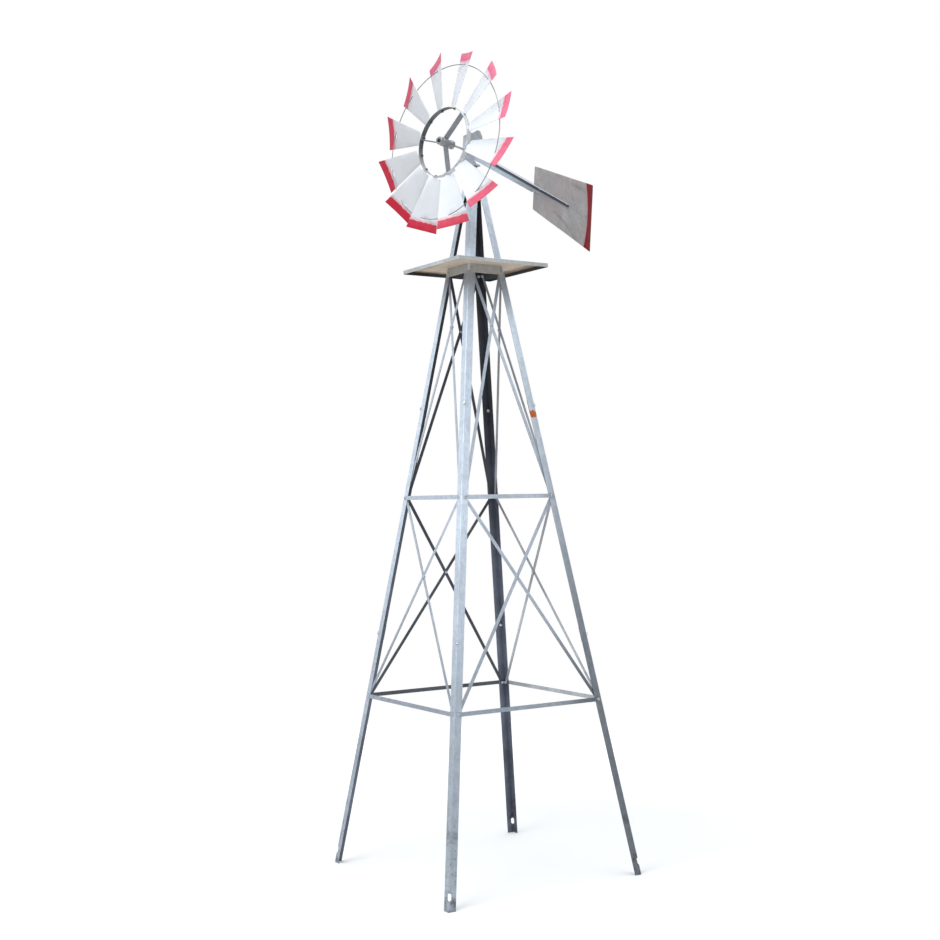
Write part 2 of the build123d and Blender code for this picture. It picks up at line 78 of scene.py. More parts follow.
def colour(name, description, default):
    return FloatVectorProperty(
        name=name, description=description, default=default, subtype="COLOR", size=3, min=0, max=1)


class WindmillColours(bpy.types.PropertyGroup):
    """Colours of the windmill's finishes."""
    steel: colour("Leg steel", "Galvanised outer faces of the legs", (0.56, 0.63, 0.72))
    strip: colour("Strip steel", "Outer faces of the girts and braces", (0.42, 0.47, 0.545))
    # Painted shade: the three colours below stand for shade on faces that look towards the tower's middle,
    # lighter low down on the legs and on strip faces that look to the front.
    steel_inside_painted_shade: colour("Steel inside", "Dull zinc facing the tower's middle", (0.060, 0.066, 0.082))
    strip_inside_painted_shade: colour("Strip inside", "Inner faces of the rear strips", (0.38, 0.40, 0.43))
    leg_inside_painted_shade: colour("Leg inside", "Inner faces of the legs below the upper girts", (0.115, 0.130, 0.170))
    dirt: colour("Dirt", "Soil splashed on the feet", (0.055, 0.045, 0.035))
    rust: colour("Rust", "Fresh rust beside a splice", (0.62, 0.16, 0.035))
    deck: colour("Deck steel", "Top and rim of the deck", (0.52, 0.54, 0.55))
    deck_under: colour("Deck underside", "Weather-stained underside of the deck", (0.60, 0.50, 0.40))
    deck_stain: colour("Deck stain", "Brown stain towards the deck's edges", (0.20, 0.13, 0.075))
    head: colour("Bracket steel", "Folded bracket and shaft", (0.52, 0.56, 0.63))
    hub: colour("Hub steel", "Turned hub", (0.40, 0.42, 0.45))
    spoke: colour("Spoke steel", "Flat strips of the spokes", (0.30, 0.32, 0.36))
    screw: colour("Wheel screws", "Dull zinc of the wheel's screws", (0.16, 0.16, 0.17))
    boom: colour("Boom steel", "Smooth rolled angle of the tail", (0.52, 0.60, 0.70))
    vane: colour("Vane sheet", "Mottled zinc of the tail vane", (0.48, 0.465, 0.475))
    vane_red: colour("Vane paint", "Dark red at the vane's rear edge", (0.27, 0.010, 0.018))
    blade: colour("Blade sheet", "Pale aluminium of the blades", (0.72, 0.745, 0.79))
    blade_red: colour("Blade paint", "Red sprayed on the blade tips", (0.56, 0.018, 0.048))
    # Painted highlight: the pink stands for a white sheen over the red tips, most on blades that rest on one
    # side.
    blade_pink_sheen: colour("Bleached paint", "Sun-bleached red of the more weathered tips", (0.72, 0.17, 0.28))
    ring: colour("Ring steel", "Band that the blades are fixed to", (0.80, 0.82, 0.86))
    # Painted light and shade of the band's inside: dark where it faces down, pale where it faces up at rest.
    ring_inside_painted_shade: colour("Ring inside", "Dull inner side of the band", (0.13, 0.145, 0.155))
    ring_inside_painted_light: colour("Ring dust", "Pale dust on the band where it rests facing up", (0.52, 0.53, 0.56))
    wire: colour("Wire", "Wire that threads the blades", (0.32, 0.34, 0.36))
    bright: colour("Bright steel", "Shaft, post and bearings", (0.55, 0.57, 0.60))
    zinc: colour("Zinc plate", "Screws and nuts of the frame", (0.62, 0.64, 0.68))
    black: colour("Black nuts", "Blackened nuts on the shaft", (0.012, 0.012, 0.014))
    bush: colour("Bush plastic", "Turning bush under the head", (0.03, 0.03, 0.032))


class WindmillWheel(bpy.types.PropertyGroup):
    """Sizes of the blades, hub and wire."""
    blades: IntProperty(name="Blades", description="Number of blades round the wheel", default=12, min=3)
    start: angle("First blade", "Angle of the first blade's centre line from level", 13.165)
    pitch: angle("Blade pitch", "Turn of each blade about its own centre line", 23.6)
    blade_out: length("Blade offset", "Blade centre line in front of the wheel plane", 0.0015)
    tip_radius: length("Tip radius", "Wheel centre to blade tip", 0.265)
    root_radius: length("Root radius", "Wheel centre to the wide part's inner end", 0.109)
    tip_chord: length("Tip chord", "Blade width at the tip", 0.102)
    root_chord: length("Root chord", "Blade width at the root", 0.040)
    gauge: length("Blade gauge", "Thickness of the blade sheet", 0.001)
    hollow: length("Blade hollow", "Depth of the blade's curve across the tip", 0.0030)
    tab_chord: length("Tab width", "Width of the fixing tab", 0.014)
    tab_depth: length("Tab depth", "How far the tab is folded back", 0.0105)
    ring_radius: length("Ring radius", "Outside of the band that carries the blades", 0.1028)
    slot_chord: length("Slot length", "Slot that the wire passes through", 0.026)
    slot_width: length("Slot width", "Width of the wire's slot", 0.004)
    wire_ring_radius: length("Wire ring radius", "Wheel centre to the wire", 0.2288)
    wire_radius: length("Wire radius", "Half the wire's thickness", 0.0013)
    hub_radius: length("Hub radius", "Outside of the hub", 0.013)
    hub_front: length("Hub front", "Hub in front of the wheel plane", 0.0104)
    hub_back: length("Hub back", "Hub behind the wheel plane", 0.0336)
    boss_radius: length("Boss radius", "Outside of the hub's front boss", 0.012)
    boss_length: length("Boss length", "Length of the hub's front boss", 0.012)
    bore: length("Bore radius", "Hole through the hub", 0.005)
    bearing_radius: length("Bearing seat radius", "Seat of each bearing", 0.0095)
    bearing_width: length("Bearing seat depth", "Depth of each bearing's seat", 0.006)
    paint: length("Tip paint", "Length of full red at each tip", 0.025)
    paint_fade: length("Tip paint fade", "Length over which the red fades out", 0.013)


class WindmillTail(bpy.types.PropertyGroup):
    """Sizes of the boom and vane."""
    skew: angle("Tail skew", "Turn of the tail from the line of the shaft", 11.5)
    droop: angle("Tail droop", "Fall of the boom towards the vane", 7.0)
    boom_start: length("Boom start", "Tower axis to the boom's front end", 0.011)
    boom_end: length("Boom end", "Tower axis to the boom's rear end", 0.565)
    boom_flange: length("Boom flange", "Width of each flange of the boom", 0.022)
    boom_gauge: length("Boom gauge", "Thickness of the boom", 0.0012)
    boom_corner: length("Boom corner", "Corner of the boom beside the tail's middle plane", 0.008)
    vane_front: length("Vane front", "Tower axis to the vane's front edge", 0.355)
    vane_rear: length("Vane rear", "Tower axis to the vane's rear edge", 0.717)
    vane_front_half: length("Vane front half", "Half height of the front edge", 0.071)
    vane_rear_half: length("Vane rear half", "Half height of the rear edge", 0.117)
    vane_gauge: length("Vane gauge", "Thickness of the vane", 0.0012)
    vane_offset: length("Vane offset", "Vane beside the tail's middle plane, at its front", 0.003)
    vane_turn: angle("Vane turn", "Turn of the vane along the boom", 1.36)
    band_middle: length("Band middle", "Width of the red band at mid height", 0.026)
    band_ends: length("Band ends", "Extra width of the red band at its ends", 0.020)


class WindmillStudio(bpy.types.PropertyGroup):
    """Camera, floor and lights."""
    azimuth: angle("Azimuth", "Camera's place round the tower", 57.088)
    heading: angle("Heading", "Direction that the camera looks in", 57.416)
    rise: angle("Rise", "Upward tilt of the camera", 1.1995)
    roll: angle("Roll", "Turn of the camera about its line of sight", -0.915)
    distance: length("Distance", "Tower axis to camera", 4.2287)
    height: length("Height", "Floor to camera", 1.0914)
    lens: FloatProperty(name="Lens", description="Focal length in millimetres", default=54.35, unit="CAMERA")
    floor_radius: length("Floor radius", "Radius of the pale floor", 2.8)
    floor_glow: FloatProperty(name="Floor glow", description="Light of the floor's rim", default=0.30)
    floor: colour("Floor", "Pale floor", (0.93, 0.93, 0.93))
    sky: colour("Upper light", "Soft light from above", (0.93, 0.97, 1.0))
    ground: colour("Lower light", "Soft light from below", (0.46, 0.38, 0.30))
    sky_strength: FloatProperty(name="Soft light", description="Strength of the soft light", default=0.62)
    key_power: FloatProperty(name="Key light", description="Power of the large front light", default=135)
    top_power: FloatProperty(name="Top light", description="Power of the overhead light", default=175)


# ---- places ----
def place_on(origin, z_axis, x_axis):
    """Matrix of a frame from its origin, its Z axis and a rough X axis."""
    z = Vector(z_axis).normalized()
    y = z.cross(Vector(x_axis)).normalized()
    place = Matrix((y.cross(z), y, z)).transposed().to_4x4()
    place.translation = origin
    return place


def wheel_place():
    """Wheel plane: +X across, +Y up, +Z to the front."""
    joint = joints["wheel_spin"]
    axis = Vector(joint["axis"])
    return place_on(joint["pos_m"], axis, UP.cross(axis))


def blade_place(number):
    """X along the chord, Y outwards along the blade's centre line, Z square to the blade."""
    wheel = bpy.context.scene.windmill_wheel
    outward = wheel.start + number * 2 * pi / wheel.blades - pi / 2
    return (wheel_place() @ Matrix.Rotation(outward, 4, "Z") @ Matrix.Translation((0, 0, wheel.blade_out))
            @ Matrix.Rotation(-wheel.pitch, 4, "Y"))


def tail_place():
    """X across, Y back along the boom, Z up, from the point where the shaft crosses the tower axis."""
    tail = bpy.context.scene.windmill_tail
    front = Vector(joints["wheel_spin"]["axis"])
    yaw = Vector((0, -1)).angle_signed(Vector((front.x, front.y)))
    return (Matrix.Translation(joints["head_yaw"]["pos_m"]) @ Matrix.Rotation(tail.skew - yaw, 4, "Z")
            @ Matrix.Rotation(-tail.droop, 4, "X"))


# ---- mesh helpers ----
def unique(items):
    """Each item once, in the order met, so that every run makes the same mesh."""
    return list(dict.fromkeys(items))


def everything(bm):
    return bm.verts[:] + bm.edges[:] + bm.faces[:]


def cut(bm, point, normal):
    """Divide every face that a plane crosses."""
    bmesh.ops.bisect_plane(bm, geom=everything(bm), dist=WELD, plane_co=point, plane_no=normal)


def round_edges(bm, edges, offset, segments):
    """Bend some edges round an arc of several segments."""
    bmesh.ops.bevel(
        bm, geom=edges, offset=offset, offset_type="OFFSET", segments=segments, profile=0.5, affect="EDGES",
        clamp_overlap=True, material=-1)


def soften(bm, offset, turn):
    """Round every edge between faces that turn by more than an angle."""
    round_edges(bm, [e for e in bm.edges if e.is_manifold and e.calc_face_angle(0) > turn], offset, 2)


def of_kind(made, kind):
    """The geometry of one kind in the result of an operator."""
    return [item for item in made["geom"] if isinstance(item, kind)]


def pull(bm, edges, move):
    """Extrude a chain of edges by one move, and return the new chain."""
    new = bmesh.ops.extrude_edge_only(bm, edges=edges)
    bmesh.ops.translate(bm, verts=of_kind(new, bmesh.types.BMVert), vec=move)
    return of_kind(new, bmesh.types.BMEdge)


def thicken(bm, side, gauge):
    """Turn the faces of an open sheet towards X (side 0) or Z (side 2), and give the sheet its thickness."""
    bm.normal_update()
    if sum(face.normal[side] for face in bm.faces) < 0:
        bmesh.ops.reverse_faces(bm, faces=bm.faces)
        bm.normal_update()
    bmesh.ops.solidify(bm, geom=bm.faces[:], thickness=gauge)


def turn_round(bm, geom, steps):
    """Spin a profile a full turn about the Z axis, and close its seam."""
    bmesh.ops.spin(
        bm, geom=geom, cent=(0, 0, 0), axis=UP, dvec=(0, 0, 0), angle=2 * pi, steps=steps, use_merge=True)
    bmesh.ops.remove_doubles(bm, verts=bm.verts, dist=WELD)


def grow(bm, edges, radius, z):
    """Extrude a rim of edges round the Z axis to a new radius and height, and return the new rim."""
    new = bmesh.ops.extrude_edge_only(bm, edges=edges)
    for vert in of_kind(new, bmesh.types.BMVert):
        out = Vector((vert.co.x, vert.co.y, 0)).normalized()
        vert.co = out * (radius(out) if callable(radius) else radius) + UP * (z(out) if callable(z) else z)
    return of_kind(new, bmesh.types.BMEdge)


def join_in(bm, part, place):
    """Move a small mesh to its place and add it to a larger one."""
    part.transform(place)
    mesh = bpy.data.meshes.new("part")
    part.to_mesh(mesh)
    part.free()
    bm.from_mesh(mesh)
    bpy.data.meshes.remove(mesh)


def piece(name, bm, body, material, replaced):
    """Turn a finished mesh into a piece that rides on a body and stands for a CAD node."""
    bmesh.ops.recalc_face_normals(bm, faces=bm.faces)
    for face in bm.faces:
        face.smooth = True
    mesh = bpy.data.meshes.new(name)
    bm.to_mesh(mesh)
    bm.free()
    mesh.set_sharp_from_angle(angle=SHARP)
    mesh.materials.append(material)
    made = bpy.data.objects.new(name, mesh)
    bpy.context.scene.collection.objects.link(made)
    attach(made, body)
    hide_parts(replaced)
    return made


def finish_nodes(names, material):
    """Give CAD nodes their finish."""
    for name in names:
        for slot in nodes[name].material_slots:
            slot.material = material


def nodes_like(*starts):
    return [name for name in nodes if name.startswith(starts)]


# ---- screws and nuts ----
def solids(name):
    """Each separate solid of a CAD node, as a list of faces in a merged copy, with the copy."""
    bm = bmesh.new()
    bm.from_mesh(nodes[name].data)
    bmesh.ops.remove_doubles(bm, verts=bm.verts, dist=WELD)
    reached, found = set(), []
    for start in bm.faces:
        if start in reached:
            continue
        reached.add(start)
        island = [start]
        for face in island:
            for other in (f for vert in face.verts for f in vert.link_faces):
                if other not in reached:
                    reached.add(other)
                    island.append(other)
        found.append(island)
    return found, bm


def largest_flat(faces):
    """Centre and normal of the largest flat area among some faces, measured from a point beside them."""
    flats, beside = [], faces[0].verts[0].co.copy()
    for face in sorted(faces, key=lambda face: face.calc_area(), reverse=True):
        normal, offset = face.normal.copy(), face.normal.dot(face.verts[0].co - beside)
        for flat in flats:
            if flat["normal"].dot(normal) > 0.9999 and abs(flat["offset"] - offset) < 2e-5:
                break
        else:
            flat = {"normal": normal, "offset": offset, "area": 0.0, "moment": Vector()}
            flats.append(flat)
        flat["area"] += face.calc_area()
        flat["moment"] += face.calc_area() * face.calc_center_median()
    best = max(flats, key=lambda flat: flat["area"])
    return best["moment"] / best["area"], best["normal"]


def radial(point, centre, axis):
    away = point - centre
    return away - axis * away.dot(axis)


def pan_screw(radius, head_radius, head_height, reach):
    """Screw along -Z: a domed head with a cross recess, a threaded shank and a chamfered end."""
    bm = bmesh.new()
    arm, half = 0.13 * head_radius, 0.46 * head_radius
    quarter = [Vector((half, -arm, 0)), Vector((half, arm, 0)), Vector((arm, arm, 0))]
    cross = [Matrix.Rotation(turn * pi / 2, 3, "Z") @ point for turn in range(4) for point in quarter]
    top = UP * head_height
    recess = bm.faces.new([bm.verts.new(point + top) for point in cross])
    bmesh.ops.subdivide_edges(bm, edges=recess.edges[:], cuts=1)
    recess = bm.faces[:][0]
    inner = recess.edges[:]
    rim = bmesh.ops.create_circle(
        bm, segments=len(inner), radius=0.72 * head_radius, matrix=Matrix.Translation(top * 0.94))["verts"]
    outer = unique(edge for vert in rim for edge in vert.link_edges)
    bmesh.ops.bridge_loops(bm, edges=inner + outer)
    bottom = bmesh.ops.extrude_discrete_faces(bm, faces=[recess])["faces"][0]
    for vert in bottom.verts:
        vert.co = Vector((vert.co.x * 0.6, vert.co.y * 0.6, head_height * 0.45))
    for share, level in ((0.90, 0.76), (0.985, 0.46), (1.0, 0.2), (1.0, 0.0)):
        outer = grow(bm, outer, share * head_radius, level * head_height)
    outer = grow(bm, outer, radius, 0)
    pitch, threaded = 0.35 * radius, 0.55 * reach
    outer = grow(bm, outer, radius, -reach + threaded)
    turns = int(threaded / pitch)
    for turn in range(turns - 1):
        z = -reach + threaded - turn * pitch
        outer = grow(bm, outer, 0.86 * radius, z - pitch / 2)
        outer = grow(bm, outer, radius, z - pitch)
    outer = grow(bm, outer, 0.72 * radius, -reach)
    bmesh.ops.holes_fill(bm, edges=outer, sides=0)
    return bm


def hex_nut(flat, height, bore):
    """Nut below Z = 0 with chamfered corners and a countersunk bore."""
    def to_flat(out):
        sixth = Vector((1, 0)).angle_signed(Vector((out.x, out.y))) % (pi / 3) - pi / 6
        return flat / 2 / cos(sixth)

    land = 0.475 * flat

    def drop(out):
        return (to_flat(out) - land) * 0.6

    bm = bmesh.new()
    rim = bmesh.ops.create_circle(bm, segments=24, radius=bore)["verts"]
    edges = unique(edge for vert in rim for edge in vert.link_edges)
    for vert in rim:
        vert.co.z = -0.12 * bore
    first = edges
    for radius, z in ((1.12 * bore, 0), (land, 0), (to_flat, lambda out: -drop(out)),
                      (to_flat, lambda out: drop(out) - height), (land, -height), (1.12 * bore, -height),
                      (bore, 0.12 * bore - height)):
        edges = grow(bm, edges, radius, z)
    bmesh.ops.bridge_loops(bm, edges=first + edges)
    return bm


def add_fasteners(bm, name):
    """Model a screw or a nut over each solid of a CAD node, at that solid's own place and size."""
    islands, copy = solids(name)
    for island in islands:
        centre, axis = largest_flat(island)
        points = unique(vert for face in island for vert in face.verts)
        heights = [(vert.co - centre).dot(axis) for vert in points]
        corner = max(points, key=lambda vert: radial(vert.co, centre, axis).length)
        across = radial(corner.co, centre, axis)
        if max(heights) < 1e-5:
            bore = min(radial(vert.co, centre, axis).length for vert in points)
            nut = hex_nut(across.length * sqrt(3), -min(heights), bore)
            join_in(bm, nut, place_on(centre, axis, across))
        else:
            shank = max(radial(v.co, centre, axis).length for v in points if (v.co - centre).dot(axis) > 1e-4)
            screw = pan_screw(shank, across.length, -min(heights), max(heights))
            join_in(bm, screw, place_on(centre, -axis, across))
    copy.free()
    return len(islands)


def fastener_piece(piece_name, node, body, material):
    bm = bmesh.new()
    if not add_fasteners(bm, node):
        raise RuntimeError(f"{node} holds no solids")
    return piece(piece_name, bm, body, material, node)


# ---- finishes ----
class Nodes:
    """A node tree under construction, with short names for the nodes it is made of."""

    def __init__(self, tree):
        self.tree = tree

    def node(self, kind, values, **settings):
        """Add a node, set it up and feed its inputs with sockets or plain values."""
        made = self.tree.nodes.new(kind)
        for key, value in settings.items():
            setattr(made, key, value)
        for key, value in values.items():
            if isinstance(value, bpy.types.NodeSocket):
                self.tree.links.new(value, made.inputs[key])
            else:
                made.inputs[key].default_value = value
        return made

    def maths(self, operation, first, second=0.0):
        return self.node("ShaderNodeMath", {0: first, 1: second}, operation=operation).outputs[0]

    def times(self, first, second):
        return self.maths("MULTIPLY", first, second)

    def plus(self, first, second):
        return self.maths("ADD", first, second)

    def vector(self, operation, first, second=(0, 0, 0)):
        made = self.node("ShaderNodeVectorMath", {0: first, 1: second}, operation=operation)
        return made.outputs["Value" if operation in ("DOT_PRODUCT", "LENGTH", "DISTANCE") else "Vector"]

    def ramp(self, value, low, high, start=0.0, end=1.0):
        """Smooth change from start to end as a value goes from low to high."""
        values = {"Value": value, "From Min": low, "From Max": high, "To Min": start, "To Max": end}
        return self.node("ShaderNodeMapRange", values, interpolation_type="SMOOTHSTEP").outputs["Result"]

    def mix(self, share, first, second, blend="MIX"):
        """Mix two colours, each a socket or three numbers."""
        made = self.tree.nodes.new("ShaderNodeMix")
        made.data_type = "RGBA"
        made.blend_type = blend
        for index, value in ((0, share), (6, first), (7, second)):
            if isinstance(value, bpy.types.NodeSocket):
                self.tree.links.new(value, made.inputs[index])
            else:
                made.inputs[index].default_value = value if index == 0 else (*value, 1)
        return made.outputs[2]


class Finish(Nodes):
    """One material under construction."""

    def __init__(self, name, metallic, specular=0.5):
        old = bpy.data.materials.get(name)
        if old:
            bpy.data.materials.remove(old)
        self.material = bpy.data.materials.new(name)
        self.material.use_nodes = True
        super().__init__(self.material.node_tree)
        self.shader = self.tree.nodes["Principled BSDF"]
        self.shader.inputs["Metallic"].default_value = metallic
        self.shader.inputs["Specular IOR Level"].default_value = specular
        place = self.node("ShaderNodeTexCoord", {})
        self.point, self.normal = place.outputs["Object"], place.outputs["Normal"]

    def stretch(self, scale, point=None):
        return self.vector("MULTIPLY", point or self.point, scale)

    def noise(self, scale, detail=3.0, roughness=0.55, point=None):
        values = {"Vector": point or self.point, "Scale": scale, "Detail": detail, "Roughness": roughness}
        return self.node("ShaderNodeTexNoise", values).outputs["Fac"]

    def spangle(self, scale):
        """Flat random value for each zinc crystal."""
        cell = self.node("ShaderNodeTexVoronoi", {"Vector": self.point, "Scale": scale, "Randomness": 1.0})
        return self.first_channel(cell.outputs["Color"])

    def first_channel(self, socket):
        return self.node("ShaderNodeSeparateColor", {"Color": socket}).outputs[0]

    def dim(self, base, factor):
        """Multiply a colour by one number."""
        grey = self.node("ShaderNodeCombineColor", {0: factor, 1: factor, 2: factor}).outputs[0]
        return self.mix(1.0, base, grey, "MULTIPLY")

    def shade(self, base, share, low, high):
        """Lighten and darken a colour between two factors."""
        return self.dim(base, self.ramp(share, 0.25, 0.75, low, high))

    def local(self, place):
        """Point and normal in the frame of a matrix."""
        turn = place.to_euler()
        point = self.node("ShaderNodeMapping", {
            "Vector": self.point, "Location": place.translation, "Rotation": turn}, vector_type="TEXTURE")
        normal = self.node(
            "ShaderNodeMapping", {"Vector": self.normal, "Rotation": turn}, vector_type="TEXTURE")
        return point.outputs[0], normal.outputs[0]

    def facing_in(self, point, normal):
        """1 where a face looks towards the Z axis of its frame, 0 where it looks away."""
        out = self.vector("NORMALIZE", self.vector("MULTIPLY", point, (1, 1, 0)))
        return self.ramp(self.vector("DOT_PRODUCT", out, normal), 0.30, -0.30)

    def attribute(self, name):
        return self.node("ShaderNodeAttribute", {}, attribute_name=name).outputs["Fac"]

    def close(self, base, roughness, bump=None, depth=0.0003, strength=0.4):
        """Link the finished colour, roughness and relief to the shader."""
        self.tree.links.new(base, self.shader.inputs["Base Color"])
        self.tree.links.new(roughness, self.shader.inputs["Roughness"])
        if bump:
            relief = self.node("ShaderNodeBump", {"Height": bump, "Distance": depth, "Strength": strength})
            self.tree.links.new(relief.outputs[0], self.shader.inputs["Normal"])
        return self.material


def colours():
    return bpy.context.scene.windmill_colours


def galvanised(finish, base):
    """Zinc crystals, cloudy patches and fine rubbed streaks over a base colour."""
    clouds = finish.noise(7.0, 4.0)
    crystals = finish.spangle(110.0)
    streaks = finish.noise(1.0, 3.0, point=finish.stretch((150, 150, 5)))
    base = finish.shade(base, clouds, 0.88, 1.07)
    base = finish.shade(base, crystals, 0.95, 1.04)
    base = finish.shade(base, streaks, 0.93, 1.04)
    return base, clouds, crystals


def frame_steel(name, steel, front_inside_painted_shade, low_inside_painted_shade, with_rust):
    """Galvanised steel with painted light and shade: darker near the ground and lighter higher up, darker
    towards the rear legs, a painted shadow under the deck and painted shade on faces towards the tower's
    middle; soil near the ground.
    """
    tone = colours()
    finish = Finish(name, metallic=0.35)
    outside, clouds, crystals = galvanised(finish, steel)
    parts = finish.node("ShaderNodeSeparateXYZ", {0: finish.point}).outputs
    height, deck_low = parts["Z"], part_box("deck")[0].z
    # Painted light and shade on the outer faces: darker near the ground, lighter higher up, darker towards
    # the rear.
    low_painted_shade, high_painted_light, rear_painted_shade, under_deck_shadow_tone = 0.68, 1.36, 0.42, 0.55
    outside = finish.dim(outside, finish.ramp(height, 0.08, 1.25, low_painted_shade, high_painted_light))
    outside = finish.dim(outside, finish.ramp(parts["Y"], 0.06, 0.22, 1.0, rear_painted_shade))
    # Painted shadow: the steel just under the deck is darkened, and the steel above the deck is not.
    under_deck_shadow_mask = finish.ramp(height, deck_low - 0.16, deck_low - 0.01, 1.0, under_deck_shadow_tone)
    above_deck = finish.ramp(height, deck_low, deck_low + 0.011)
    outside = finish.dim(outside, finish.maths("MAXIMUM", under_deck_shadow_mask, above_deck))
    # Painted shade on faces that look towards the tower's middle: darkest higher up, lighter low down on the
    # legs and where a strip's inner face looks to the front.
    inside = finish.mix(finish.ramp(height, 0.95, 1.35), low_inside_painted_shade, tone.steel_inside_painted_shade)
    to_front = finish.ramp(finish.vector("DOT_PRODUCT", finish.normal, (0, -1, 0)), 0.6, 0.9)
    inside = finish.mix(to_front, inside, front_inside_painted_shade) if front_inside_painted_shade else inside
    inside = finish.shade(inside, clouds, 0.70, 1.45)
    base = finish.mix(finish.facing_in(finish.point, finish.normal), outside, inside)
    low = finish.ramp(height, 0.42, 0.0)
    specks = finish.ramp(finish.noise(160.0, 2.0, 0.6), 0.60, 0.70)
    patches = finish.ramp(finish.noise(24.0, 5.0, 0.7), 0.47, 0.66)
    soil = finish.times(finish.maths("MAXIMUM", specks, patches), finish.ramp(low, 0.0, 1.0, 0.0, 0.75))
    base = finish.mix(soil, base, tone.dirt)
    rough = finish.plus(finish.ramp(crystals, 0.0, 1.0, 0.36, 0.50), finish.times(soil, 0.35))
    if with_rust:
        spot = finish.vector("SUBTRACT", finish.point, rust_spot())
        reach = finish.vector("LENGTH", finish.stretch((1.0, 1.0, 1.5), spot))
        ragged = finish.plus(reach, finish.times(finish.noise(190.0, 4.0), 0.014))
        rust = finish.ramp(ragged, 0.0255, 0.0205)
        brown = finish.shade(tone.rust, finish.noise(260.0, 3.0), 0.55, 1.2)
        base = finish.mix(rust, base, brown)
        rough = finish.plus(rough, finish.times(rust, 0.4))
    relief = finish.plus(finish.noise(420.0, 3.0), finish.times(crystals, 0.35))
    return finish.close(base, rough, relief, depth=0.00025, strength=0.25)


def rust_spot():
    """Outer face of the rear right leg, just under its upper splice."""
    low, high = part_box("upper_leg_rear_right")
    return Vector((high.x, high.y - 0.012, low.z - 0.006))


def deck_finish():
    tone = colours()
    finish = Finish("weathered_deck", metallic=0.15)
    outside, clouds, crystals = galvanised(finish, tone.deck)
    facing_down = finish.ramp(finish.vector("DOT_PRODUCT", finish.normal, (0, 0, -1)), 0.4, 0.8)
    # Painted shade on the deck's faces that look towards the tower's middle.
    inward = finish.facing_in(finish.point, finish.normal)
    dark = finish.shade(tone.steel_inside_painted_shade, clouds, 0.7, 1.4)
    base = finish.mix(inward, outside, dark)
    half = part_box("deck")[1].x
    ends = finish.vector("ABSOLUTE", finish.point)
    parts = finish.node("ShaderNodeSeparateXYZ", {0: ends}).outputs
    edge = finish.maths("MAXIMUM", parts["X"], parts["Y"])
    blotch = finish.times(finish.ramp(edge, 0.45 * half, half), finish.noise(13.0, 5.0, 0.65))
    under = finish.mix(finish.ramp(blotch, 0.18, 0.50), tone.deck_under, tone.deck_stain)
    under = finish.shade(under, finish.noise(70.0, 4.0), 0.85, 1.1)
    base = finish.mix(facing_down, base, under)
    rough = finish.ramp(crystals, 0.0, 1.0, 0.45, 0.60)
    return finish.close(base, rough, finish.noise(300.0, 4.0), strength=0.3)


def plain_steel(name, base, metallic, rough, grain):
    """Rolled or turned steel with a fine grain, faint clouds and small handling marks."""
    finish = Finish(name, metallic=metallic)
    marks = finish.ramp(finish.noise(1.0, 2.0, point=finish.stretch(grain)), 0.35, 0.65)
    base = finish.shade(base, finish.noise(26.0, 4.0), 0.86, 1.08)
    base = finish.shade(base, marks, 0.92, 1.05)
    pits = finish.ramp(finish.noise(340.0, 2.0), 0.68, 0.74)
    base = finish.mix(finish.times(pits, 0.5), base, (0.06, 0.055, 0.05))
    roughness = finish.ramp(marks, 0.0, 1.0, rough - 0.06, rough + 0.08)
    return finish.close(base, roughness, finish.noise(500.0, 3.0), depth=0.00015, strength=0.2)


def boom_finish():
    """Smooth bright angle with a painted highlight along its upper flange and a painted dark reflection just
    below the outside of its bend.
    """
    tone = colours()
    finish = Finish("smooth_boom", metallic=0.55)
    around = finish.attribute("across")
    clouds = finish.noise(16.0, 3.0)
    base = finish.shade(tone.boom, clouds, 0.92, 1.05)
    rub = finish.noise(1.0, 3.0, point=finish.stretch((30, 6, 220)))
    base = finish.shade(base, rub, 0.93, 1.05)
    # Painted highlight: a pale band along the upper flange, beside the bend.
    pale = finish.times(finish.ramp(around, 0.0005, 0.0015), finish.ramp(around, 0.0125, 0.0095))
    base = finish.mix(finish.times(pale, 0.85), base, (0.93, 0.95, 0.98))
    # Painted dark reflection: a dark line just below the bend.
    line = finish.times(finish.ramp(around, -0.0075, -0.0050), finish.ramp(around, 0.0010, -0.0005))
    base = finish.mix(finish.times(line, 0.88), base, (0.035, 0.045, 0.075))
    return finish.close(base, finish.ramp(rub, 0.2, 0.8, 0.26, 0.38), finish.noise(380.0, 2.0), strength=0.12)


